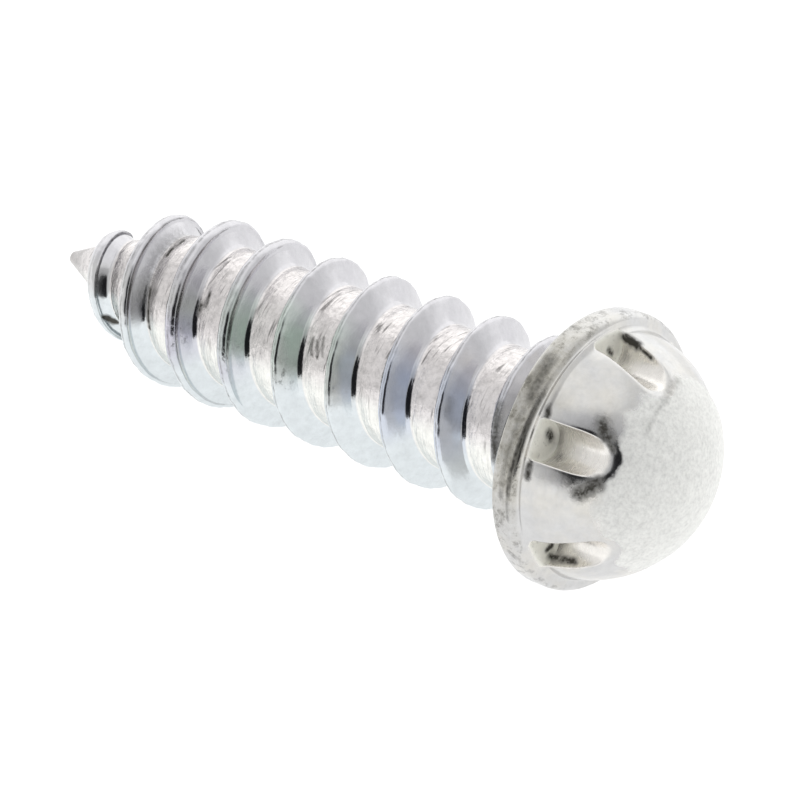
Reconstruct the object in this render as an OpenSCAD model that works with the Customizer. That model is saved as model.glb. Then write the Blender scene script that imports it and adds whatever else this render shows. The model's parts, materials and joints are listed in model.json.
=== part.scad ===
// Security screw for sheet metal: one cold-formed steel piece with a spaced right-hand thread,
// a gimlet point, and a domed flange head that is driven by six round grooves in the dome's side.
// It lies as it comes to rest, on the rim of its flange and on one thread crest, head towards +X.
// The origin is the centre of the bearing face under the flange.

/* [Thread] */
// Diameter over the thread crests
thread_d = 3.5; // [3.2:0.05:4.2]
// Diameter at the thread root
root_d = 2.6; // [2.2:0.05:2.7]
// Distance from one crest to the next
thread_pitch = 1.3; // [1.16:0.02:1.5]
// Width of the flat on the crest
crest_w = 0.1; // [0.05:0.01:0.2]
// Angle between the two flanks of a crest
flank_angle = 60; // [45:1:65]
// Size of the rounding between flank and root
root_fillet = 0.08; // [0.04:0.01:0.12]
// Angle at which the thread starts at the tip, from the side that the screw lies on
thread_start = 349; // [0:1:360]

/* [Shank] */
// Length from the bearing face to the tip
shank_len = 12.5; // [9:0.1:19]
// Diameter of the plain neck under the head
neck_d = 2.85; // [2.75:0.05:3]
// Length over which the thread runs out below the head
runout_len = 0.95; // [0.5:0.05:1.5]

/* [Point] */
// Length of the tapered point
point_len = 3.3; // [2.5:0.05:4.5]
// Diameter of the blunt end of the tip
tip_d = 0.26; // [0.1:0.02:0.5]
// Curvature of the outline over the point's crests, from 1 for a straight cone
crest_curve = 1.5; // [1.2:0.1:2]
// Curvature of the point's core, from 1 for a straight cone
core_curve = 1.3; // [1:0.1:1.5]
// Lean of the crest towards the tip, largest at the tip
point_lean = 0.22; // [0:0.02:0.24]

/* [Head] */
// Diameter of the flange
flange_d = 5.25; // [5.2:0.05:6.5]
// Thickness of the flange
flange_t = 0.58; // [0.4:0.02:0.8]
// Diameter at which the rounding under the flange meets the bearing face
seat_d = 3.64; // [3.5:0.02:4]
// Rounding of the flange's lower edge
rim_lower_round = 0.16; // [0.06:0.02:0.2]
// Rounding of the flange's upper edge
rim_upper_round = 0.1; // [0.06:0.02:0.16]
// Diameter of the dome where it meets the flange
dome_d = 4.7; // [4.3:0.05:4.75]
// Height of the dome above the flange
dome_h = 2.07; // [1.8:0.01:2.3]
// Rounding between the dome and the flange
dome_fillet = 0.12; // [0.06:0.02:0.16]

/* [Drive] */
// Number of drive grooves
groove_count = 6; // [3:1:8]
// Width of the round-bottomed grooves
groove_d = 0.76; // [0.5:0.02:1]
// Diameter of the circle through the groove centres
groove_circle_d = 4.2; // [3.9:0.05:4.5]
// Height of the grooves' lower end above the flange
groove_lift = 0.03; // [0.02:0.01:0.3]
// Angle of the first groove, from the side that the screw lies on
groove_start = 55; // [0:1:120]

/* [Hidden] */
$fn = 96;
ZINC = [0.80, 0.81, 0.80];

root_r = root_d / 2;
neck_r = neck_d / 2;
tip_r = tip_d / 2;
flange_r = flange_d / 2;
crest_h = (thread_d - root_d) / 2;

// The sphere that the dome is cut from
dome_r = (pow(dome_d / 2, 2) + pow(dome_h, 2)) / (2 * dome_h);
dome_z = flange_t + dome_h - dome_r;

// One pitch of the thread from the tip side: distance along the axis and share of the crest's height
flank_w = crest_h * tan(flank_angle / 2);
fillet_w = root_fillet * sin(flank_angle / 2);
fillet_share = root_fillet * cos(flank_angle / 2) / crest_h;
crest_from = root_fillet + flank_w;
crest_to = crest_from + crest_w;
THREAD = [
    [0, 0],
    [root_fillet + fillet_w, fillet_share],
    [crest_from, 1],
    [crest_to, 1],
    [crest_to + flank_w - fillet_w, fillet_share],
    [crest_to + flank_w + root_fillet, 0]
];
rows = len(THREAD);

// The blunt end of the tip: its height and the edge that rounds it off
blunt_h = 0.3 * tip_d;
blunt_edge_r = 0.9 * tip_r;
blunt_edge_z = blunt_h / 3 - shank_len;

// The thread's grid: steps in one turn, turns in which the crest rises, and the end inside the head
full_turn = 360;
turn_steps = 60;
rise_turns = 0.25;
grid_low = blunt_h - shank_len;
end_gap = 0.1 * thread_pitch;
grid_high = thread_pitch - THREAD[rows - 1][0] + end_gap;
cap_z = thread_pitch + 2 * end_gap;
cap_r = 0.8 * neck_r;
columns = ceil((grid_high - grid_low) / thread_pitch * turn_steps);

function clamp(x) = min(1, max(0, x));
function ease(x) = clamp(x) * clamp(x) * (3 - 2 * clamp(x));

// Share of the full size at height z, growing from the tip up the point
function taper(z, curve) = 1 - pow(1 - clamp((z + shank_len) / point_len), curve);
// Share of the thread that has run out at height z, on the way up to the head
function faded(z) = ease((z + runout_len) / runout_len);
function point_r(z) = tip_r + (root_r - tip_r) * taper(z, core_curve);
function crest_r(z) = tip_r + (root_r + crest_h - tip_r) * taper(z, crest_curve);
function core_r(z) = point_r(z) + (neck_r - root_r) * faded(z);
function ridge_h(z) = (crest_r(z) - point_r(z)) * (1 - faded(z));

// Columns run round the axis and climb with the helix, rows follow one pitch of the thread
function around(r, angle, z) = [r * cos(angle), r * sin(angle), z];
function column_angle(c) = thread_start + full_turn * c / turn_steps;
function base_z(c, m) = grid_low + thread_pitch * c / turn_steps + THREAD[m][0];
function grid_z(c, m) = base_z(c, m) - point_lean * THREAD[m][1] * (1 - taper(base_z(c, m), crest_curve));
function started(c) = ease(c / turn_steps / rise_turns);
function grid_r(c, m) = core_r(grid_z(c, m)) + THREAD[m][1] * ridge_h(grid_z(c, m)) * started(c);
function grid_point(c, m) = around(grid_r(c, m), column_angle(c), grid_z(c, m));

// Numbers of the grid's points: the row after the last one is the first row, one turn on
function at(c, m) = m < rows ? c * rows + m : (c + turn_steps) * rows + m - rows;
tip_ring = (columns + 1) * rows;
cap_ring = tip_ring + turn_steps;
tip_point = cap_ring + turn_steps;
function tip_at(j) = tip_ring + j % turn_steps;
function cap_at(j) = cap_ring + j % turn_steps;
function has_cell(c, m) = m < rows - 1 || c + turn_steps < columns;

// Tilt of the axis when the flange's rim and the crest that starts at height z lie on one plane
function crest_tilt(z) =
    let (across = flange_r - rim_lower_round - core_r(z) - ridge_h(z), along = rim_lower_round - z)
    atan2(across, along) + asin(rim_lower_round / norm([across, along]));
crest_low = grid_low + crest_from - thread_pitch * thread_start / full_turn;
turns = floor((shank_len - runout_len) / thread_pitch);
rest_tilt = min([for (k = [1 : turns]) crest_tilt(crest_low + thread_pitch * k)]);

// Half outline of the head: flange with rounded rim, dome and the rounding between them
module head_outline() {
    fillet_z = flange_t + dome_fillet;
    fillet_x = sqrt(pow(dome_r + dome_fillet, 2) - pow(fillet_z - dome_z, 2));
    inward = 0.8;
    seat_round = seat_d / 2 - root_r;
    difference() {
        translate([0, -seat_round])
            square([seat_d / 2, seat_round + flange_t / 2]);
        translate([seat_d / 2, -seat_round])
            circle(seat_round);
    }
    square([flange_r - rim_lower_round, flange_t / 2]);
    square([flange_r - rim_upper_round, flange_t]);
    translate([0, rim_lower_round])
        square([flange_r, flange_t - rim_lower_round - rim_upper_round]);
    translate([flange_r - rim_lower_round, rim_lower_round])
        circle(rim_lower_round);
    translate([flange_r - rim_upper_round, flange_t - rim_upper_round])
        circle(rim_upper_round);
    intersection() {
        translate([0, dome_z])
            circle(dome_r);
        translate([0, flange_t / 2])
            square([flange_r, flange_t + dome_h]);
    }
    difference() {
        polygon([
            [fillet_x * inward, flange_t / 2],
            [fillet_x, flange_t / 2],
            [fillet_x, fillet_z],
            [fillet_x * inward, dome_z + (fillet_z - dome_z) * inward]
        ]);
        translate([fillet_x, fillet_z])
            circle(dome_fillet);
    }
}

// One drive groove: a round bottom with straight walls that run out of the dome's side
module groove() {
    linear_extrude(dome_h) {
        circle(d = groove_d);
        translate([0, -groove_d / 2])
            square([flange_r, groove_d]);
    }
}

module head() {
    groove_step = full_turn / groove_count;
    rotate(groove_start - groove_step / 2)
        difference() {
            rotate_extrude()
                head_outline();
            for (k = [0 : groove_count - 1])
                rotate(groove_step * (k + 0.5))
                    translate([groove_circle_d / 2, 0, flange_t + groove_lift])
                        groove();
        }
}

module threaded_shank() {
    points = concat(
        [for (c = [0 : columns], m = [0 : rows - 1]) grid_point(c, m)],
        [for (j = [0 : turn_steps - 1]) around(blunt_edge_r, column_angle(j), blunt_edge_z)],
        [for (j = [0 : turn_steps - 1]) around(cap_r, column_angle(columns + j), cap_z)],
        [[0, 0, -shank_len]]
    );
    ridges = [
        for (c = [0 : columns - 1], m = [0 : rows - 1])
            if (has_cell(c, m))
                each [[at(c, m), at(c, m + 1), at(c + 1, m + 1)], [at(c, m), at(c + 1, m + 1), at(c + 1, m)]]
    ];
    tip = [
        for (j = [0 : turn_steps - 1])
            each [
                [tip_at(j), at(j, 0), at(j + 1, 0)],
                [tip_at(j), at(j + 1, 0), tip_at(j + 1)],
                [tip_point, tip_at(j), tip_at(j + 1)]
            ]
    ];
    tip_seam = [for (m = [0 : rows - 1]) [tip_at(0), at(0, m + 1), at(0, m)]];
    last = columns - turn_steps;
    cap = [
        for (j = [0 : turn_steps - 1])
            each [
                [at(last + j, rows - 1), cap_at(j), cap_at(j + 1)],
                [at(last + j, rows - 1), cap_at(j + 1), at(last + j + 1, rows - 1)]
            ]
    ];
    cap_seam = concat(
        [[cap_at(0), at(last, rows - 1), at(columns, 0)]],
        [for (m = [0 : rows - 2]) [cap_at(0), at(columns, m), at(columns, m + 1)]]
    );
    cap_face = [[for (j = [turn_steps - 1 : -1 : 0]) cap_at(j)]];
    polyhedron(points, concat(ridges, tip, tip_seam, cap, cap_seam, cap_face));
}

module screw() {
    color(ZINC)
        rotate([0, 90 - rest_tilt, 0])
            union() {
                head();
                threaded_shank();
            }
}

screw();
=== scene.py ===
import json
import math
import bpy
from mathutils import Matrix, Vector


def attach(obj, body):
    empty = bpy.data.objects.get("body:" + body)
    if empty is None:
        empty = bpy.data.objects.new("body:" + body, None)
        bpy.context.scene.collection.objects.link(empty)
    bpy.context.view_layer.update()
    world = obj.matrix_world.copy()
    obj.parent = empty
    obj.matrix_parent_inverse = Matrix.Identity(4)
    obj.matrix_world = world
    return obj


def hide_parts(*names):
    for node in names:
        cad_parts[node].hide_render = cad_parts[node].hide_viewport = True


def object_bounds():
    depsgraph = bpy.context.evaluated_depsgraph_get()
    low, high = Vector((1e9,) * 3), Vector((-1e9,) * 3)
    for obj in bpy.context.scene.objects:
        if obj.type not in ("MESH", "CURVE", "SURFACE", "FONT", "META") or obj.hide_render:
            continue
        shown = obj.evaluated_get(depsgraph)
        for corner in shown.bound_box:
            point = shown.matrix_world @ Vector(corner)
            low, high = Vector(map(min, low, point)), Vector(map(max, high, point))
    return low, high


bl_info = {
    "name": "Security screw",
    "version": (1, 0, 0),
    "blender": (4, 5, 0),
    "location": "View3D > Sidebar > Screw",
    "description": "Plated self-tapping security screw that lies on a pale floor",
    "category": "Add Mesh",
}

import bpy
import numpy as np
from mathutils import Matrix, Vector

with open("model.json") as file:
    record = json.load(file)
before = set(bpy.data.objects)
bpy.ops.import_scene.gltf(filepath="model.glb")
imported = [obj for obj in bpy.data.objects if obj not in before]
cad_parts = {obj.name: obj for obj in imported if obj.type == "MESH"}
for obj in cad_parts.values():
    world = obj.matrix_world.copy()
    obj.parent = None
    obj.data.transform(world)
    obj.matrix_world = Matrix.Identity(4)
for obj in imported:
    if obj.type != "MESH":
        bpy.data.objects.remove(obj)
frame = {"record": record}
SOLID_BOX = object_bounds()

NODE = "screw"
BODY = "root"
MM = 0.001
FULL_TURN = 2 * math.pi
LENS_MM = 252.6
SENSOR_MM = 36.0
FLOOR_HALF = 0.6
THREAD_MOUNT = next(m for m in frame["record"]["mounts"] if m["name"] == "thread")
TOWARDS_HEAD = -Vector(THREAD_MOUNT["axis"]).normalized()


def length(name, text, mm):
    """A length that a user may change, given in millimetres."""
    return bpy.props.FloatProperty(
        name=name, description=text, default=mm * MM, min=0.0, unit="LENGTH", subtype="DISTANCE", precision=5
    )


def angle(name, text, degrees):
    """An angle that a user may change, given in degrees."""
    turn = math.radians(degrees)
    return bpy.props.FloatProperty(name=name, description=text, default=turn, subtype="ANGLE")


def share(name, text, value, high=1.0):
    """A plain number that a user may change."""
    return bpy.props.FloatProperty(
        name=name, description=text, default=value, min=0.0, max=high, subtype="FACTOR"
    )


def whole(name, text, number, low):
    """Setting for a whole number."""
    return bpy.props.IntProperty(name=name, description=text, default=number, min=low)


def colour(name, text, rgb):
    """A colour that a user may change."""
    return bpy.props.FloatVectorProperty(
        name=name, description=text, default=rgb, size=3, min=0.0, max=2.0, subtype="COLOR"
    )


class ScrewThreadSettings(bpy.types.PropertyGroup):
    thread_d: length("Thread diameter", "Diameter over the thread crests", 3.5)
    root_d: length("Root diameter", "Diameter at the thread root", 2.6)
    pitch: length("Pitch", "Distance from one crest to the next", 1.3)
    crest_w: length("Crest width", "Width of the flat on the crest", 0.1)
    crest_flare: share("Crest flare", "How much wider the crest is on the first turns", 0.75, 2.0)
    flank_angle: angle("Flank angle", "Angle between the two flanks of a crest", 60)
    root_fillet: length("Root rounding", "Length of the rounding between flank and root", 0.08)
    start: angle("Thread start", "Angle at which the thread starts at the tip", 349)
    shank_len: length("Shank length", "Length from the bearing face to the tip", 12.5)
    neck_d: length("Neck diameter", "Diameter of the neck under the head", 2.85)
    runout_len: length("Run-out", "Length over which the thread runs out below the head", 0.95)
    point_len: length("Point length", "Length of the tapered point", 3.3)
    tip_d: length("Tip diameter", "Diameter of the blunt end of the tip", 0.26)
    crest_curve: share("Crest curve", "Curvature of the outline over the point's crests", 1.5, 2.0)
    core_curve: share("Core curve", "Curvature of the point's core", 1.3, 2.0)
    point_lean: length("Crest lean", "Lean of the crest towards the tip", 0.22)
    seam_depth: length("Crest seam", "Depth of the rolled seam along the crest", 0.012)
    lip_depth: length("Crest lip", "Depth of the fold between the crest and its flank", 0.008)
    crest_wave: length("Crest unevenness", "How far the rolled crest rises and falls", 0.014)
    root_wave: length("Root unevenness", "How far the rolled root rises and falls", 0.006)
    turn_steps: whole("Steps in a turn", "Faces in one turn", 150, 24)


class ScrewHeadSettings(bpy.types.PropertyGroup):
    flange_d: length("Flange diameter", "Diameter of the flange", 5.25)
    flange_t: length("Flange thickness", "Thickness of the flange", 0.58)
    seat_d: length("Seat diameter", "Diameter at which the rounding under the flange ends", 3.64)
    rim_lower_round: length("Lower rim rounding", "Rounding of the flange's lower edge", 0.16)
    rim_upper_round: length("Upper rim rounding", "Rounding of the flange's upper edge", 0.16)
    dome_d: length("Dome diameter", "Diameter of the dome where it meets the flange", 4.7)
    dome_h: length("Dome height", "Height of the dome above the flange", 2.07)
    dome_fillet: length("Dome rounding", "Rounding between the dome and the flange", 0.12)
    groove_count: whole("Grooves", "Number of drive grooves", 6, 1)
    groove_w: length("Groove width", "Width of the round-bottomed grooves", 0.76)
    groove_circle_d: length("Groove circle", "Diameter of the circle through the groove centres", 4.2)
    groove_lift: length("Groove lift", "Height of the grooves' lower end above the flange", 0.03)
    groove_start: angle("Groove start", "Angle of the first groove", 55)
    edge_round: length("Groove edge", "Rounding of the grooves' side edges", 0.025)
    end_round: length("Groove end", "Rounding where a groove runs out on the dome", 0.12)
    corner_round: length("Groove corner", "Rounding at the foot of the grooves' walls", 0.06)
    swell: length("Forged unevenness", "How far the forged head swells and sinks", 0.008)


class ScrewFinishSettings(bpy.types.PropertyGroup):
    zinc: colour("Zinc", "Colour of the bright plating", (0.63, 0.63, 0.63))
    root_film: colour("Root film", "Tint of the film in the thread's root", (0.80, 0.765, 0.755))
    # Painted light: the root's lower side is made paler
    root_painted_light: colour("Pale film", "Tint of the film on the root's lower side", (0.93, 0.93, 0.89))
    # Painted light: the flanks' lower side is made lighter and bluer
    lower_painted_light: colour("Cool film", "Tint of the film on the flanks' lower side", (0.715, 0.76, 0.78))
    # Painted shade: the flanks' upper side is made greyer and lilac
    upper_painted_shade: colour("Lilac film", "Tint of the film on the flanks' upper side", (0.61, 0.605, 0.63))
    blue_film: colour("Blue film", "Tint of the film patches near the head", (0.60, 0.64, 0.73))
    green_film: colour("Green film", "Tint of the film patches on the middle turns", (0.575, 0.65, 0.60))
    violet_film: colour("Violet film", "Tint of the film patches on the point", (0.57, 0.565, 0.635))
    warm_film: colour("Warm film", "Tint of the film on the head", (0.655, 0.64, 0.605))
    groove_film: colour("Groove film", "Tint of the film in the grooves", (0.93, 0.905, 0.865))
    bed_film: colour("Bed film", "Tint of the matt film at the grooves' lower end", (0.97, 0.965, 0.88))
    frost: colour("Frost", "Colour of the frosted top", (0.96, 0.965, 0.935))
    tarnish: colour("Tarnish", "Colour of the dull patch on the flange's rim", (0.40, 0.385, 0.34))
    # This dark colour serves the stains and also the painted shade, shadow and dark reflections
    stain_and_shade: colour("Stain", "Colour of the dark stains", (0.045, 0.042, 0.034))


class ScrewStageSettings(bpy.types.PropertyGroup):
    floor: colour("Floor", "Colour of the pale floor", (0.25, 0.25, 0.25))
    floor_glow: share("Floor glow", "Light that comes through the pale floor", 0.96, 2.0)
    tent: colour("Tent", "Colour of the soft light all round", (0.88, 0.88, 0.88))
    backdrop: colour("Backdrop", "Colour of the bright backdrop", (1.45, 1.45, 1.44))
    overhead: colour("Overhead", "Colour of the brighter light above", (1.15, 1.15, 1.15))
    front: colour("Front", "Colour of the dimmer light round the opening", (0.58, 0.58, 0.59))
    opening: colour("Opening", "Colour of the unlit opening for the lens", (0.015, 0.015, 0.017))
    dim_azimuth: angle("Dim azimuth", "Direction of the dim front of the tent", 38)
    dim_elevation: angle("Dim elevation", "Height of the dim front of the tent", 21)
    azimuth: angle("Azimuth", "Direction from which the screw is seen", 40.08)
    elevation: angle("Elevation", "Height of the view above the floor", 34.47)
    distance: length("Distance", "Distance from the lens to the middle of the thread", 104.16)
    aim_along: length("Middle of the thread", "Distance of that middle from the bearing face", 4.982)
    aim_right: length("Aim right", "How far right of the thread's middle the lens aims", 0.5586)
    aim_down: length("Aim down", "How far below the thread's middle the lens aims", 0.6217)


def wobble(s, seed):
    """Smooth uneven line from -1 to 1 over the distance s."""
    rng = np.random.default_rng(seed)
    total = np.zeros_like(s)
    for wave in (2.9, 1.3, 0.61, 0.33, 0.19):
        total += np.sin(FULL_TURN * s / wave + rng.uniform(0, FULL_TURN)) * rng.uniform(0.5, 1.0)
    return np.clip(total / 2.2, -1, 1)


def ripples(turned, up, seed, counts):
    """Smooth unevenness from -1 to 1 round the axis and over the distance up."""
    rng = np.random.default_rng(seed)
    total = np.zeros_like(turned)
    for n in counts:
        total += np.sin(n * turned + rng.uniform(-1, 1) * FULL_TURN * up + rng.uniform(0, FULL_TURN))
    return np.clip(total / (0.9 * len(counts)), -1, 1)


def eased(x):
    x = np.clip(x, 0, 1)
    return x * x * (3 - 2 * x)


def thread_rows(t):
    """Rows of one pitch from the tip side: distance along, height over the root, shares of seam and lip."""
    half = t.flank_angle / 2
    turn = math.pi / 2 - half
    crest_h = (t.thread_d - t.root_d) / 2
    fillet_r = t.root_fillet / math.tan(turn / 2)
    middle = t.root_fillet + crest_h * math.tan(half) + t.crest_w / 2
    rows = [(fillet_r * math.sin(a), fillet_r * (1 - math.cos(a)), 0, 0) for a in np.linspace(0, turn, 6)]
    crest_r = t.crest_w / 2 / math.tan(turn / 2)
    bends = np.linspace(turn, 0, 6)
    bead = [(middle - crest_r * math.sin(a), crest_h - crest_r * (1 - math.cos(a))) for a in bends]
    low_v, low_h = rows[-1][:2]
    top_v, top_h = bead[0]
    rows += [(low_v + (top_v - low_v) * k, low_h + (top_h - low_h) * k, 0, 0) for k in (0.3, 0.6, 0.85)]
    seams, lips = (0, 0, 0, 0, 0.4, 1), (1, 0.2, 0, 0, 0, 0)
    rows += [(v, h, seam, lip) for (v, h), seam, lip in zip(bead, seams, lips)]
    rows += [(2 * middle - v, h, seam, lip) for v, h, seam, lip in reversed(rows[:-1])]
    end = rows[-1][0]
    rows += [(end + (t.pitch - end) * k, 0, 0, 0) for k in np.linspace(0, 1, 10)[1:-1]]
    return np.array(rows), crest_h, middle, top_h / crest_h


def shank_grid(t):
    """Points and faces of the thread, point and neck, with their heights over the root and seam shares."""
    rows, crest_h, middle, bead = thread_rows(t)
    count, steps = len(rows), t.turn_steps
    tip_r, root_r, neck_r = t.tip_d / 2, t.root_d / 2, t.neck_d / 2
    blunt = 0.3 * t.tip_d
    low = blunt - t.shank_len
    columns = int(math.ceil((0.2 * MM - low) / t.pitch * steps))
    c = np.arange(columns + 1)[:, None]
    along, high, seam_share, lip = (rows[None, :, k] for k in range(4))
    high = high / crest_h
    climb = low + t.pitch * c / steps
    past_tip, past_point = eased((climb + 11.4 * MM) / (1.2 * MM)), eased((climb + 8.4 * MM) / (2.4 * MM))
    flare = 1 + t.crest_flare * (2 - past_point - past_tip)
    on_bead = high > bead - 0.001
    along = np.where(on_bead, middle + (along - middle) * flare, along)
    high = np.where(on_bead, 1 - (1 - high) * flare, high)
    base_z = climb + along
    turned = t.start + FULL_TURN * c / steps + 0 * along

    def taper(z, curve):
        return 1 - (1 - np.clip((z + t.shank_len) / t.point_len, 0, 1)) ** curve

    z = base_z - t.point_lean * high * (1 - taper(base_z, t.crest_curve))
    faded = eased((z + t.runout_len) / t.runout_len)
    point_r = tip_r + (root_r - tip_r) * taper(z, t.core_curve)
    crest_r = tip_r + (root_r + crest_h - tip_r) * taper(z, t.crest_curve)
    ridge = (crest_r - point_r) * (1 - faded) * eased(c / steps / 0.25)
    full = np.clip(ridge / crest_h, 0, 1)
    way = turned * root_r / MM
    rolled = wobble(way, 3) * t.crest_wave * high**3
    seam = t.seam_depth * (0.75 + 0.3 * wobble(way * 1.3, 11)) * seam_share
    upper = eased((np.abs(np.sin(turned / 2)) - 0.55) / 0.3)
    lip = lip * np.clip(flare - 1, 0, 1) * np.clip(0.55 + 0.9 * wobble(way * 0.45, 12), 0, 1.3) * upper
    seam = seam + 2 * t.lip_depth * lip
    galled = ripples(turned, z / (0.5 * MM), 5, (3, 4, 5, 6, 7, 9, 10, 12)) * t.root_wave * (1 - high)
    grown = eased((point_r - tip_r) / (0.5 * MM))
    r = point_r + (neck_r - root_r) * faded + high * ridge + (rolled - seam) * full + galled * grown
    points = np.stack([r * np.cos(turned), r * np.sin(turned), z], -1).reshape(-1, 3)
    cc, mm = np.meshgrid(np.arange(columns), np.arange(count), indexing="ij")
    here = cc * count + mm
    inner = mm < count - 1
    over = np.where(inner, here + 1, (cc + steps) * count)
    quads = np.stack([here, over, over + count, here + count], -1)
    quads = quads[inner | (cc + steps < columns)]
    ring = len(points) + np.arange(steps)
    around = t.start + FULL_TURN * np.arange(steps) / steps
    edge_r, edge_z = 0.9 * tip_r, blunt / 3 - t.shank_len
    edge = np.stack([edge_r * np.cos(around), edge_r * np.sin(around), 0 * around + edge_z], -1)
    end = len(points) + steps
    first = np.arange(steps) * count
    nxt = np.roll(ring, -1)
    quads = np.concatenate([quads, np.stack([ring, first, first + count, nxt], -1)])
    fans = np.stack([np.full(steps, end), ring, nxt], -1)
    start = [[ring[0], m + 1, m] for m in range(count - 1)] + [[ring[0], steps * count, count - 1]]
    spare = np.zeros(steps + 1)
    marks = {
        "high": np.concatenate([(high * full).ravel(), spare]),
        "seam": np.concatenate([(np.maximum(seam_share, lip) * full).ravel(), spare]),
    }
    points = np.concatenate([points, edge, [[0, 0, -t.shank_len]]])
    return points, quads.tolist() + fans.tolist() + start, marks


def fused(a, b, k):
    """Distance to two bodies joined with a rounding of radius k."""
    return np.maximum(k, np.minimum(a, b)) - np.hypot(np.maximum(k - a, 0), np.maximum(k - b, 0))


def shared(a, b, k):
    """Distance to what two bodies share, its edges rounded to radius k."""
    return np.minimum(-k, np.maximum(a, b)) + np.hypot(np.maximum(k + a, 0), np.maximum(k + b, 0))


def dome_sphere(h):
    """Radius and centre height of the sphere that the dome is part of."""
    r = ((h.dome_d / 2) ** 2 + h.dome_h**2) / (2 * h.dome_h)
    return r, h.flange_t + h.dome_h - r


def groove_hollow(h, p):
    """Distance from points to the nearest groove's hollow, and how far they lie outwards of its centre."""
    r = np.hypot(p[..., 0], p[..., 1])
    step = FULL_TURN / h.groove_count
    turn = (np.arctan2(p[..., 1], p[..., 0]) - h.groove_start + step / 2) % step - step / 2
    out, side = r * np.cos(turn) - h.groove_circle_d / 2, r * np.sin(turn)
    slot = np.where(out < 0, np.hypot(out, side), np.abs(side)) - h.groove_w / 2
    return shared(slot, h.flange_t + h.groove_lift - p[..., 2], h.corner_round), out


def head_distance(h, root_d, p):
    """Distance from points to the head's surface, below zero inside it."""
    r, z = np.hypot(p[..., 0], p[..., 1]), p[..., 2]
    mid = h.flange_t / 2
    rim = np.where(z < mid, h.rim_lower_round, h.rim_upper_round)
    across, up = r - h.flange_d / 2 + rim, np.abs(z - mid) - mid + rim
    beyond = np.hypot(np.maximum(across, 0), np.maximum(up, 0))
    flange = np.minimum(np.maximum(across, up), 0) + beyond - rim
    dome_r, dome_z = dome_sphere(h)
    dome = np.maximum(np.hypot(r, z - dome_z) - dome_r, mid - z)
    neck = np.maximum(r - root_d / 2, z - mid)
    body = fused(fused(flange, dome, h.dome_fillet), neck, (h.seat_d - root_d) / 2)
    hollow, out = groove_hollow(h, p)
    edge = h.edge_round + (h.end_round - h.edge_round) * eased((-0.2 - out / h.groove_w * 2) / 0.8)
    return shared(body, -hollow, edge)


def head_rings(h, root_d):
    """Rings from the neck to the top: radius, height, height in the grooves and share of their depth."""
    flange_r, seat_r = h.flange_d / 2, h.seat_d / 2
    seat_round = seat_r - root_d / 2
    low, high, top = h.rim_lower_round, h.rim_upper_round, h.flange_t
    dome_r, dome_z = dome_sphere(h)
    floor, bend, bend_z = top + h.groove_lift, h.dome_fillet, top + h.dome_fillet
    bend_r = math.sqrt((dome_r + bend) ** 2 - (bend_z - dome_z) ** 2)
    quarter = np.linspace(0, math.pi / 2, 7)
    line = [(seat_r - seat_round * math.cos(a), seat_round * (math.sin(a) - 1)) for a in quarter]
    line += [(r, 0) for r in np.linspace(seat_r, flange_r - low, 4)[1:-1]]
    line += [(flange_r - low + low * math.sin(a), low - low * math.cos(a)) for a in quarter]
    line += [(flange_r, z) for z in np.linspace(low, top - high, 6)[1:-1]]
    line += [(flange_r - high + high * math.cos(a), top - high + high * math.sin(a)) for a in quarter]
    at_floor, at_dome = math.acos((bend_z - floor) / bend), math.atan2(bend_r, bend_z - dome_z)
    bends = np.concatenate([np.linspace(0, at_floor, 4), np.linspace(at_floor, at_dome, 11)[1:]])
    line += [(bend_r - bend * math.sin(a), bend_z - bend * math.cos(a)) for a in bends]
    level = len(line)
    depth = np.concatenate([np.zeros(level - 10), np.linspace(0, 1, 11)[1:]])
    start, end = math.pi / 2 - at_dome, math.acos((h.groove_circle_d - h.groove_w) / 2 / dome_r)
    near = start + math.radians(2)
    up = np.concatenate([
        np.linspace(start, near, 5)[1:], np.linspace(near, end, 27)[1:],
        np.linspace(end, math.radians(89.5), 29)[1:],
    ])
    line += [(dome_r * math.cos(a), dome_z + dome_r * math.sin(a)) for a in up]
    r, z = np.array(line).T
    foot, top_end = z[level - 1], dome_z + dome_r * math.sin(end)
    within = np.where(z < top_end, floor + (z - foot) * (top_end - floor) / (top_end - foot), z)
    within[:level] = np.where(depth > 0, floor, z[:level])
    return r, z, within, np.concatenate([depth, np.ones(len(up))])


def head_half(h, ring, depth, along):
    """Points of rings from a groove's middle to its edge, at shares of that way, and the edge's angle."""
    centre, half = h.groove_circle_d / 2, h.groove_w / 2
    cosine = np.clip((centre**2 + half**2 - ring**2) / (2 * centre * half), -1, 1)
    walled = ring**2 > centre**2 + half**2
    wide = np.where(walled, half, half * np.sqrt(1 - cosine**2))
    bent = np.where(walled, math.pi / 2, np.arccos(cosine))[:, None]
    straight = np.where(walled, np.sqrt(np.maximum(ring**2 - half**2, 0)) - centre, 0)[:, None]
    gone = (bent * half + straight) * along
    turned = np.minimum(gone / half, bent)
    out = centre - half * np.cos(turned) + np.maximum(gone - bent * half, 0)
    inner = np.stack([out, half * np.sin(turned)], -1)
    plain = (depth == 0) | (ring < centre - 0.96 * half)
    wide = np.where(depth == 0, half, np.where(plain, ring * math.sin(math.radians(4.5)), wide))
    side = wide[:, None] * along
    outer = np.stack([np.sqrt(ring[:, None] ** 2 - side**2), side], -1)
    share = np.where(plain, 0, depth)[:, None, None]
    return outer + (inner - outer) * share, np.arcsin(wide / ring)


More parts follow.
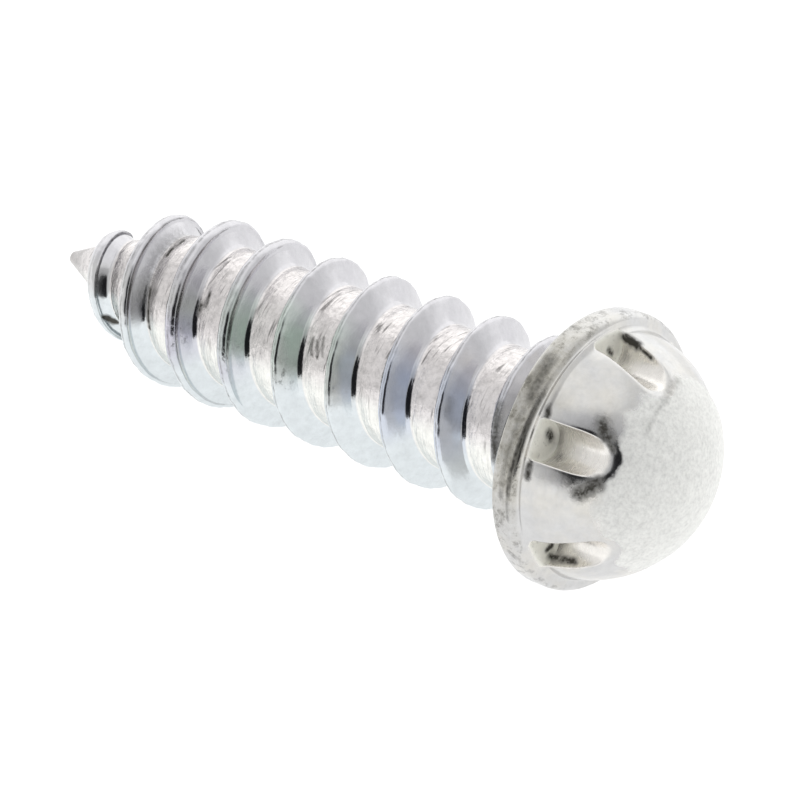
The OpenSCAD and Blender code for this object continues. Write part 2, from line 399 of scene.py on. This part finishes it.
def head_grid(h, root_d):
    """Points and faces of the head: a net along the grooves' edges, drawn onto the rounded surface."""
    ring, z, within, depth = head_rings(h, root_d)
    many, land = 20, 10
    along = 1 - (1 - np.arange(many + 1) / many) ** 1.3
    slot, edge = head_half(h, ring, depth, along)
    step = FULL_TURN / h.groove_count
    over = (np.arange(1, land + 1) / land) ** 1.4
    risen = np.where(depth[:, None] < 1, np.where(along < 1, 0, 1), along**6)
    turn = np.concatenate([
        np.arctan2(slot[..., 1], slot[..., 0]), edge[:, None] + (step / 2 - edge[:, None]) * over,
    ], 1)
    r = np.concatenate([np.hypot(slot[..., 0], slot[..., 1]), np.repeat(ring[:, None], land, 1)], 1)
    height = np.concatenate([
        within[:, None] + (z - within)[:, None] * risen, np.repeat(z[:, None], land, 1),
    ], 1)
    turn = np.concatenate([-turn[:, -2:0:-1], turn], 1)
    r, height = np.concatenate([r[:, -2:0:-1], r], 1), np.concatenate([height[:, -2:0:-1], height], 1)
    middles = h.groove_start + np.arange(h.groove_count) * step
    turn = (middles[None, :, None] + turn[:, None, :]).reshape(len(ring), -1)
    r, height = np.tile(r, h.groove_count), np.tile(height, h.groove_count)
    points = np.stack([r * np.cos(turn), r * np.sin(turn), height], -1)
    small = 0.0005 * MM
    for _ in range(8):
        off = head_distance(h, root_d, points)
        ahead = [head_distance(h, root_d, points + small * axis) for axis in np.eye(3)]
        behind = [head_distance(h, root_d, points - small * axis) for axis in np.eye(3)]
        slope = (np.stack(ahead, -1) - np.stack(behind, -1)) / (2 * small)
        points = points - slope * (off / np.maximum((slope**2).sum(-1), 0.2))[..., None]
    eye = np.array([0, 0, 0.52 * h.flange_t])
    reach = np.linalg.norm(points - eye, axis=-1)
    tilt = np.arcsin((points[..., 2] - eye[2]) / reach)
    turn = np.arctan2(points[..., 1], points[..., 0])
    swollen = reach + h.swell * ripples(turn, tilt, 8, (1, 2, 3, 4, 5, 7)) * np.cos(tilt)
    points = (eye + (points - eye) * (swollen / reach)[..., None]).reshape(-1, 3)
    wide = turn.shape[1]
    jj, ii = np.meshgrid(np.arange(len(ring) - 1), np.arange(wide), indexing="ij")
    a, b = jj * wide + ii, jj * wide + (ii + 1) % wide
    quads = np.stack([a, b, b + wide, a + wide], -1).reshape(-1, 4)
    points = np.concatenate([points, [[0, 0, h.flange_t + h.dome_h]]])
    last = (len(ring) - 1) * wide + np.arange(wide)
    fans = np.stack([last, np.roll(last, -1), np.full(wide, len(points) - 1)], -1)
    return points, quads.tolist() + fans.tolist()


# Dark stains, and where noted painted shade, a painted shadow and painted dark reflections: angle in
# degrees, radius and height in millimetres at both ends, then reach and strength
STAINS_AND_PAINTED_SHADE = (
    ((203, 2.62, 0.30), (220, 2.62, 0.38), 0.15, 0.60),
    ((226, 2.62, 0.34), (262, 2.62, 0.28), 0.07, 0.40),
    # Painted dark reflection: a dark line along the flange's upper edge, where it would mirror the unlit
    # opening
    ((216, 2.580, 0.560), (232, 2.612, 0.53), 0.045, 0.80),
    ((230, 2.612, 0.53), (250, 2.625, 0.45), 0.045, 1.00),
    ((250, 2.625, 0.45), (260, 2.625, 0.43), 0.045, 0.80),
    ((260, 2.625, 0.43), (272, 2.625, 0.42), 0.04, 0.45),
    # Marks in the grooves
    ((165.4, 2.27, 0.74), (165.2, 2.20, 0.98), 0.10, 1.25),
    ((165.0, 2.19, 1.00), (164.6, 2.06, 1.32), 0.05, 0.95),
    ((171, 1.98, 0.61), (174, 2.10, 0.61), 0.06, 0.90),
    ((231, 2.02, 0.61), (233, 1.90, 0.61), 0.10, 1.05),
    ((301, 1.99, 0.61), (300, 2.10, 0.61), 0.07, 1.20),
    ((304.5, 2.14, 0.66), (305.4, 2.08, 1.10), 0.10, 0.85),
    # Painted dark reflection: a dark crescent on the dome round the end of a groove
    ((217, 2.00, 1.55), (222, 1.90, 1.70), 0.14, 0.90),
    ((221, 1.92, 1.67), (228, 1.77, 1.85), 0.07, 0.80),
    ((248, 1.86, 1.75), (255, 2.00, 1.54), 0.15, 0.90),
    # Marks on the dome near the next groove's end
    ((160, 1.77, 1.85), (181, 1.61, 2.02), 0.12, 0.30),
    ((181, 1.61, 2.02), (207, 1.48, 2.12), 0.06, 0.32),
    # Painted shade in the rounding at the dome's foot, on both sides of a groove
    ((224, 2.34, 0.67), (221, 2.38, 0.64), 0.06, 0.90),
    ((247, 2.36, 0.63), (252, 2.37, 0.63), 0.07, 0.80),
    # Painted shadow on the last turn of the thread, under the flange
    ((226, 1.72, -0.85), (258, 1.66, -0.62), 0.13, 0.70),
    # Marks on the thread's point and turns
    ((289, 1.02, -10.81), (298, 0.96, -10.67), 0.065, 1.50),
    ((201, 1.23, -9.54), (175, 1.23, -9.545), 0.035, 1.30),
    ((165, 1.22, -9.75), (240, 1.26, -9.50), 0.22, 0.32),
    ((233, 1.26, -9.47), (267, 1.28, -9.34), 0.04, 0.95),
    ((231, 1.30, -8.08), (220, 1.30, -8.08), 0.04, 0.90),
    ((240, 1.31, -8.17), (230, 1.30, -8.18), 0.04, 0.80),
    ((225, 1.30, -5.50), (239, 1.30, -5.38), 0.035, 0.75),
    ((226, 1.30, -5.36), (239, 1.30, -5.25), 0.035, 0.75),
    ((222, 1.30, -5.26), (236, 1.30, -5.16), 0.035, 0.65),
)


def stains_and_painted_shade(points):
    """How much each point is darkened by the table's stains, painted shade, painted shadow and painted dark
    reflections.
    """
    total = np.zeros(len(points))
    for start, end, reach, much in STAINS_AND_PAINTED_SHADE:
        for k in np.linspace(0, 1, 61):
            degrees, r, z = (1 - k) * np.array(start) + k * np.array(end)
            a = math.radians(degrees)
            spot = np.array([r * math.cos(a), r * math.sin(a), z]) * MM
            off = np.linalg.norm(points - spot, axis=1) / (reach * MM)
            total = np.maximum(total, much * np.exp(-(off**2)))
    return total


def shank_marks(points):
    """Where the film on the thread is tinted: patches on the side, painted light below (lighter and bluer)
    and painted shade above (greyer and lilac).
    """
    turn = np.degrees(np.arctan2(points[:, 1], points[:, 0])) % 360
    z = points[:, 2] / MM

    def patch(low, high, turn_low, turn_high, soft):
        sides = eased((turn - turn_low) / 20) * eased((turn_high - turn) / 20)
        return sides * eased((z - low) / soft + 0.5) * eased((high - z) / soft + 0.5)

    return {
        "violet": patch(-8.8, -6.9, 232, 285, 0.8),
        "green": patch(-7.3, -4.5, 200, 268, 1.0),
        "blue": patch(-3.9, -0.9, 205, 282, 1.0),
        "soot": patch(-8.9, -4.3, 232, 276, 0.6),
        "lit_below": patch(-12, 0, 250, 360, 1.0),
        "shaded_above": patch(-12, 0, 90, 235, 1.0),
    }


def head_marks(h, points):
    """Where the head's top is frosted, its rim worn and tarnished and its grooves dull."""
    z, r = points[:, 2], np.hypot(points[:, 0], points[:, 1])
    turn = np.degrees(np.arctan2(points[:, 1], points[:, 0])) % 360
    hollow, out = groove_hollow(h, points)
    rim = eased((r / h.flange_d * 2 - 0.95) / 0.03) * eased(z / (0.1 * MM))
    low = eased((h.flange_t + 0.22 * MM - z) / (0.2 * MM))
    return {
        "frost": eased((z / MM - 1.57) / 0.5) * eased((hollow / MM - 0.02) / 0.17),
        "worn": rim,
        "tarnish": rim * eased((turn - 165) / 40) * eased((300 - turn) / 60),
        "groove": eased((0.03 - hollow / MM) / 0.03),
        "bed": eased((0.03 - hollow / MM) / 0.03) * eased((h.flange_t / MM + 0.11 - z / MM) / 0.05),
        "pocket": eased(1 - np.abs(hollow) / (0.06 * MM)) * low,
    }


class PlatingNodes:
    """Shader nodes of the plating, with short ways to make and join them."""

    def __init__(self, material):
        material.use_nodes = True
        self.tree = material.node_tree
        self.shader = self.tree.nodes["Principled BSDF"]
        self.place = self.mark("place", "Vector")

    def add(self, kind, **values):
        made = self.tree.nodes.new(kind)
        for k, v in values.items():
            setattr(made, k, v)
        return made

    def feed(self, socket, value):
        if isinstance(value, bpy.types.NodeSocket):
            self.tree.links.new(value, socket)
        else:
            socket.default_value = value

    def mark(self, name, output="Fac"):
        return self.add("ShaderNodeAttribute", attribute_name=name).outputs[output]

    def noise(self, scale, detail=4.0, stretch=None, rough=0.6):
        made = self.add("ShaderNodeTexNoise")
        source = self.place
        if stretch:
            scaled = self.add("ShaderNodeVectorMath", operation="MULTIPLY")
            self.feed(scaled.inputs[0], source)
            scaled.inputs[1].default_value = stretch
            source = scaled.outputs[0]
        self.feed(made.inputs["Vector"], source)
        made.inputs["Scale"].default_value = scale
        made.inputs["Detail"].default_value = detail
        made.inputs["Roughness"].default_value = rough
        return made.outputs["Fac"]

    def spread(self, value, low, high, to_low=0.0, to_high=1.0):
        made = self.add("ShaderNodeMapRange", clamp=True)
        names = ("Value", "From Min", "From Max", "To Min", "To Max")
        for name, v in zip(names, (value, low, high, to_low, to_high)):
            self.feed(made.inputs[name], v)
        return made.outputs["Result"]

    def maths(self, operation, *values):
        made = self.add("ShaderNodeMath", operation=operation)
        for socket, v in zip(made.inputs, values):
            self.feed(socket, v)
        return made.outputs[0]

    def mixed(self, how_much, a, b):
        made = self.add("ShaderNodeMix", data_type="RGBA")
        self.feed(made.inputs[0], how_much)
        for socket, v in ((made.inputs[6], a), (made.inputs[7], b)):
            self.feed(socket, v if isinstance(v, bpy.types.NodeSocket) else (*v, 1.0))
        return made.outputs[2]


def zinc_plating(f):
    """Bright zinc: film tints along the thread, painted light on its lower side and painted shade on its
    upper side, rolling marks, a frosted top, dark stains, and painted shade and dark reflections among the
    stains.
    """
    mat = bpy.data.materials.new("zinc_plating")
    n = PlatingNodes(mat)
    high, seam, frost = n.mark("high"), n.mark("seam"), n.mark("frost")
    parts = n.add("ShaderNodeSeparateXYZ")
    n.feed(parts.inputs[0], n.place)
    along = n.spread(parts.outputs["Z"], -12.5, 2.65)

    on_thread = n.spread(along, 0.80, 0.83, 1.0, 0.0)
    root = n.maths("MULTIPLY", on_thread, n.spread(high, 0.0, 0.04, 1.0, 0.0))
    fillet = n.maths("MULTIPLY", n.spread(high, 0.0, 0.03), n.spread(high, 0.2, 0.3, 1.0, 0.0))
    groove, bed = n.mark("groove"), n.mark("bed")
    frosty = n.spread(n.maths("ADD", frost, n.spread(n.noise(2.2, 4.0), 0.3, 0.7, -0.25, 0.25)), 0.35, 0.65)
    patches = n.spread(n.noise(1.3, 4.0), 0.34, 0.60)
    blotch = n.noise(4.0, 6.0, rough=0.75)
    fine = n.noise(11.0, 5.0, rough=0.65)
    base = n.mixed(patches, n.mixed(on_thread, f.warm_film, f.zinc), f.zinc)
    # Painted shade: the thread's upper side is tinted greyer and lilac
    base = n.mixed(n.mark("shaded_above"), base, f.upper_painted_shade)
    # Painted light: the thread's lower side is tinted lighter and bluer
    base = n.mixed(n.mark("lit_below"), base, f.lower_painted_light)
    for name, tint in (("violet", f.violet_film), ("green", f.green_film), ("blue", f.blue_film)):
        base = n.mixed(n.maths("MULTIPLY", n.mark(name), n.spread(patches, 0.0, 1.0, 0.6, 1.0)), base, tint)
    # Painted light: the root's lower side is made paler still
    pale = n.maths("MULTIPLY", root, n.mark("lit_below"))
    base = n.mixed(n.maths("MULTIPLY", root, 0.9), base, f.root_film)
    base = n.mixed(pale, base, f.root_painted_light)
    rubbed = n.maths("SUBTRACT", root, n.maths("MULTIPLY", pale, 0.75))
    base = n.mixed(groove, base, f.groove_film)
    base = n.mixed(bed, base, f.bed_film)
    base = n.mixed(frosty, base, f.frost)
    tarnished = n.maths("MULTIPLY", n.mark("tarnish"), n.spread(blotch, 0.3, 0.6, 0.25, 1.0))
    base = n.mixed(tarnished, base, f.tarnish)
    dull = n.spread(n.noise(5.0, 6.0, rough=0.7), 0.35, 0.75, 1.0, 0.86)
    speckle = n.maths("MULTIPLY", frosty, n.spread(n.noise(15.0, 5.0, rough=0.7), 0.42, 0.70, 0.0, 0.20))
    scratch = n.spread(n.noise(1.0, 3.0, (1.8, 1.8, 17.0), 0.5), 0.57, 0.66)
    scratch = n.maths("MULTIPLY", scratch, rubbed)
    scratch = n.maths("MULTIPLY", scratch, n.spread(n.noise(1.1, 2.0), 0.40, 0.55))
    mottle = n.maths("MULTIPLY", rubbed, n.spread(n.noise(7.0, 5.0, rough=0.7), 0.44, 0.70, 0.0, 0.26))
    shade = n.add("ShaderNodeVectorMath", operation="SCALE")
    n.feed(shade.inputs[0], base)
    marked = n.maths("MAXIMUM", mottle, n.maths("MULTIPLY", scratch, 0.6))
    n.feed(shade.inputs["Scale"], n.maths("SUBTRACT", n.maths("SUBTRACT", dull, speckle), marked))

    # The stain mark holds real stains and also painted shade, a painted shadow and painted dark reflections;
    # all darken the colour and dull the metal
    patchy_stain_and_shade = n.maths("MULTIPLY", n.mark("stain_and_shade"), n.spread(fine, 0.25, 0.6, 0.35, 1.0))
    worn = n.maths("MULTIPLY", n.mark("worn"), n.spread(blotch, 0.47, 0.68, 0.0, 0.45))
    speck = n.maths("MULTIPLY", seam, n.spread(n.noise(6.0, 5.0, rough=0.75), 0.36, 0.66, 0.1, 0.5))
    pocket = n.maths("MULTIPLY", n.mark("pocket"), n.spread(fine, 0.52, 0.76, 0.0, 0.35))
    soot = n.spread(n.noise(9.0, 5.0, rough=0.75), 0.52, 0.70, 0.0, 0.5)
    soot = n.maths("MULTIPLY", n.maths("MULTIPLY", n.mark("soot"), soot), n.spread(high, 0.1, 0.3))
    dirt_and_shade = patchy_stain_and_shade
    for other in (worn, speck, pocket, soot):
        dirt_and_shade = n.maths("MAXIMUM", dirt_and_shade, other)
    dirt_and_shade_share = n.spread(dirt_and_shade, 0.08, 0.72)
    n.feed(n.shader.inputs["Base Color"], n.mixed(dirt_and_shade_share, shade.outputs[0], f.stain_and_shade))
    matt = n.maths("MAXIMUM", n.maths("MAXIMUM", frosty, bed), n.maths("MULTIPLY", groove, 0.22))
    metal = n.maths("MULTIPLY", n.spread(dirt_and_shade_share, 0.0, 1.0, 1.0, 0.2), n.spread(matt, 0.0, 1.0, 1.0, 0.1))
    n.feed(n.shader.inputs["Metallic"], metal)

    streak = n.noise(1.0, 5.0, (1.2, 1.2, 9.0), 0.65)
    rough = n.maths("SUBTRACT", n.spread(streak, 0.3, 0.7, 0.13, 0.24), n.maths("MULTIPLY", fillet, 0.08))
    dulled = n.maths("MAXIMUM", n.maths("MULTIPLY", matt, 0.3), n.maths("MULTIPLY", groove, 0.08))
    rough = n.maths("ADD", rough, dulled)
    n.feed(n.shader.inputs["Roughness"], n.maths("ADD", rough, n.maths("MULTIPLY", dirt_and_shade_share, 0.3)))

    scored = n.maths("MULTIPLY", streak, n.maths("ADD", n.maths("MULTIPLY", root, 0.8), 0.12))
    crinkle = n.maths("MULTIPLY", root, n.spread(n.mark("shaded_above"), 0.0, 1.0, 0.9, 2.0))
    crinkled = n.maths("MULTIPLY", n.noise(4.5, 3.0), n.maths("ADD", crinkle, 0.08))
    grainy = n.maths("ADD", n.maths("MULTIPLY", frosty, 0.5), 0.10)
    grain = n.maths("MULTIPLY", n.noise(16.0, 5.0, rough=0.7), grainy)
    pitted = n.maths("MULTIPLY", dirt_and_shade_share, n.maths("MULTIPLY", fine, -0.6))
    height = n.maths("ADD", n.maths("ADD", scored, crinkled), n.maths("ADD", grain, pitted))
    bump = n.add("ShaderNodeBump")
    bump.inputs["Strength"].default_value = 0.6
    bump.inputs["Distance"].default_value = 0.02 * MM
    n.feed(bump.inputs["Height"], height)
    n.feed(n.shader.inputs["Normal"], bump.outputs["Normal"])
    return mat


class SCREW_OT_make_screw(bpy.types.Operator):
    """Make the plated screw in place of its plain solid"""

    bl_idname = "screw.make_screw"
    bl_label = "Screw"

    def execute(self, context):
        scene = context.scene
        t, h = scene.screw_thread, scene.screw_head
        shank, shank_faces, marks = shank_grid(t)
        head, head_faces = head_grid(h, t.root_d)
        points = np.concatenate([shank, head])
        faces = shank_faces + [[i + len(shank) for i in face] for face in head_faces]
        marks = {name: np.concatenate([values, np.zeros(len(head))]) for name, values in marks.items()}
        for name, values in head_marks(h, head).items():
            marks[name] = np.concatenate([np.zeros(len(shank)), values])
        for name, values in shank_marks(shank).items():
            marks[name] = np.concatenate([values, np.zeros(len(head))])
        # Stains, painted shade, a painted shadow and painted dark reflections, all in one mark
        marks["stain_and_shade"] = stains_and_painted_shade(points)
        side = Vector((0, 1, 0))
        lie = np.array([side.cross(TOWARDS_HEAD), side, TOWARDS_HEAD])
        mesh = bpy.data.meshes.new("plated_screw")
        mesh.from_pydata((points @ lie).tolist(), [], faces)
        if mesh.validate():
            raise RuntimeError("the screw's mesh has faulty faces")
        mesh.shade_smooth()
        for name, values in marks.items():
            mesh.attributes.new(name, "FLOAT", "POINT").data.foreach_set("value", values.astype(np.float32))
        place = mesh.attributes.new("place", "FLOAT_VECTOR", "POINT")
        place.data.foreach_set("vector", (points / MM).astype(np.float32).ravel())
        mesh.materials.append(zinc_plating(scene.screw_finish))
        piece = bpy.data.objects.new("plated_screw", mesh)
        scene.collection.objects.link(piece)
        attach(piece, BODY)
        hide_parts(NODE)
        return {"FINISHED"}


def seen_from(azimuth, elevation):
    """Direction towards a place at this azimuth from -Y and this height."""
    flat = math.cos(elevation)
    return Vector((math.sin(azimuth) * flat, -math.cos(azimuth) * flat, math.sin(elevation)))


def light_tent(s):
    """Soft light all round: brighter above, dimmer at the front, unlit at the opening for the lens."""
    world = bpy.data.worlds.new("tent")
    world.use_nodes = True
    nodes, links = world.node_tree.nodes, world.node_tree.links
    way = nodes.new("ShaderNodeTexCoord").outputs["Generated"]
    zones = (
        (s.backdrop, seen_from(math.radians(205), math.radians(10)), 35, 68),
        (s.overhead, Vector((0, 0, 1)), 20, 30),
        (s.front, seen_from(s.dim_azimuth, s.dim_elevation), 34, 56),
        (s.opening, seen_from(s.dim_azimuth, s.dim_elevation), 27, 33),
    )
    before = None
    for tint, towards, inner, outer in zones:
        dot = nodes.new("ShaderNodeVectorMath")
        dot.operation = "DOT_PRODUCT"
        dot.inputs[1].default_value = towards
        links.new(way, dot.inputs[0])
        edge = nodes.new("ShaderNodeMapRange")
        edge.interpolation_type = "SMOOTHSTEP"
        edge.inputs["From Min"].default_value = math.cos(math.radians(outer))
        edge.inputs["From Max"].default_value = math.cos(math.radians(inner))
        links.new(dot.outputs["Value"], edge.inputs["Value"])
        mix = nodes.new("ShaderNodeMix")
        mix.data_type = "RGBA"
        mix.inputs[6].default_value = (*s.tent, 1)
        mix.inputs[7].default_value = (*tint, 1)
        links.new(edge.outputs["Result"], mix.inputs[0])
        if before:
            links.new(before, mix.inputs[6])
        before = mix.outputs[2]
    links.new(before, nodes["Background"].inputs["Color"])
    return world


class SCREW_OT_make_stage(bpy.types.Operator):
    """Lay out the pale floor, the light tent and the camera"""

    bl_idname = "screw.make_stage"
    bl_label = "Stage"

    def execute(self, context):
        scene = context.scene
        s = scene.screw_stage
        scene.view_settings.view_transform = "Standard"
        scene.world = light_tent(s)

        low, half = SOLID_BOX[0].z, FLOOR_HALF
        corners = [(-half, -half, low), (half, -half, low), (half, half, low), (-half, half, low)]
        mesh = bpy.data.meshes.new("floor")
        mesh.from_pydata(corners, [], [(0, 1, 2, 3)])
        mat = bpy.data.materials.new("pale_floor")
        mat.use_nodes = True
        sockets = mat.node_tree.nodes["Principled BSDF"].inputs
        sockets["Base Color"].default_value = (*s.floor, 1)
        sockets["Roughness"].default_value = 0.8
        sockets["Specular IOR Level"].default_value = 0.0
        sockets["Emission Color"].default_value = (1, 1, 1, 1)
        sockets["Emission Strength"].default_value = s.floor_glow
        mesh.materials.append(mat)
        floor = bpy.data.objects.new("floor", mesh)
        scene.collection.objects.link(floor)

        data = bpy.data.cameras.new("lens")
        data.sensor_width = SENSOR_MM
        data.lens = LENS_MM
        data.clip_start = 0.001
        data.clip_end = 10.0
        camera = bpy.data.objects.new("lens", data)
        scene.collection.objects.link(camera)
        back = seen_from(s.azimuth, s.elevation)
        right = Vector((math.cos(s.azimuth), math.sin(s.azimuth), 0))
        up = back.cross(right)
        middle = -TOWARDS_HEAD * s.aim_along
        stand = middle + back * s.distance
        forward = (middle + right * s.aim_right - up * s.aim_down - stand).normalized()
        across = forward.cross(Vector((0, 0, 1))).normalized()
        turned = Matrix((across, across.cross(forward), -forward)).transposed().to_4x4()
        camera.matrix_world = Matrix.Translation(stand) @ turned
        scene.camera = camera
        return {"FINISHED"}


class SCREW_PT_sidebar(bpy.types.Panel):
    bl_label = "Security screw"
    bl_idname = "SCREW_PT_sidebar"
    bl_space_type = "VIEW_3D"
    bl_region_type = "UI"
    bl_category = "Screw"

    def draw(self, context):
        for name in GROUPS:
            settings = getattr(context.scene, name)
            box = self.layout.box()
            for key in settings.__annotations__:
                box.prop(settings, key)
        self.layout.operator(SCREW_OT_make_screw.bl_idname)
        self.layout.operator(SCREW_OT_make_stage.bl_idname)


GROUPS = {
    "screw_thread": ScrewThreadSettings,
    "screw_head": ScrewHeadSettings,
    "screw_finish": ScrewFinishSettings,
    "screw_stage": ScrewStageSettings,
}
CLASSES = (*GROUPS.values(), SCREW_OT_make_screw, SCREW_OT_make_stage, SCREW_PT_sidebar)


def register():
    for cls in CLASSES:
        bpy.utils.register_class(cls)
    for name, group in GROUPS.items():
        setattr(bpy.types.Scene, name, bpy.props.PointerProperty(type=group))


def unregister():
    for name in GROUPS:
        delattr(bpy.types.Scene, name)
    for cls in reversed(CLASSES):
        bpy.utils.unregister_class(cls)


def main():
    register()
    bpy.ops.screw.make_screw()
    bpy.ops.screw.make_stage()


if __name__ == "__main__":
    main()
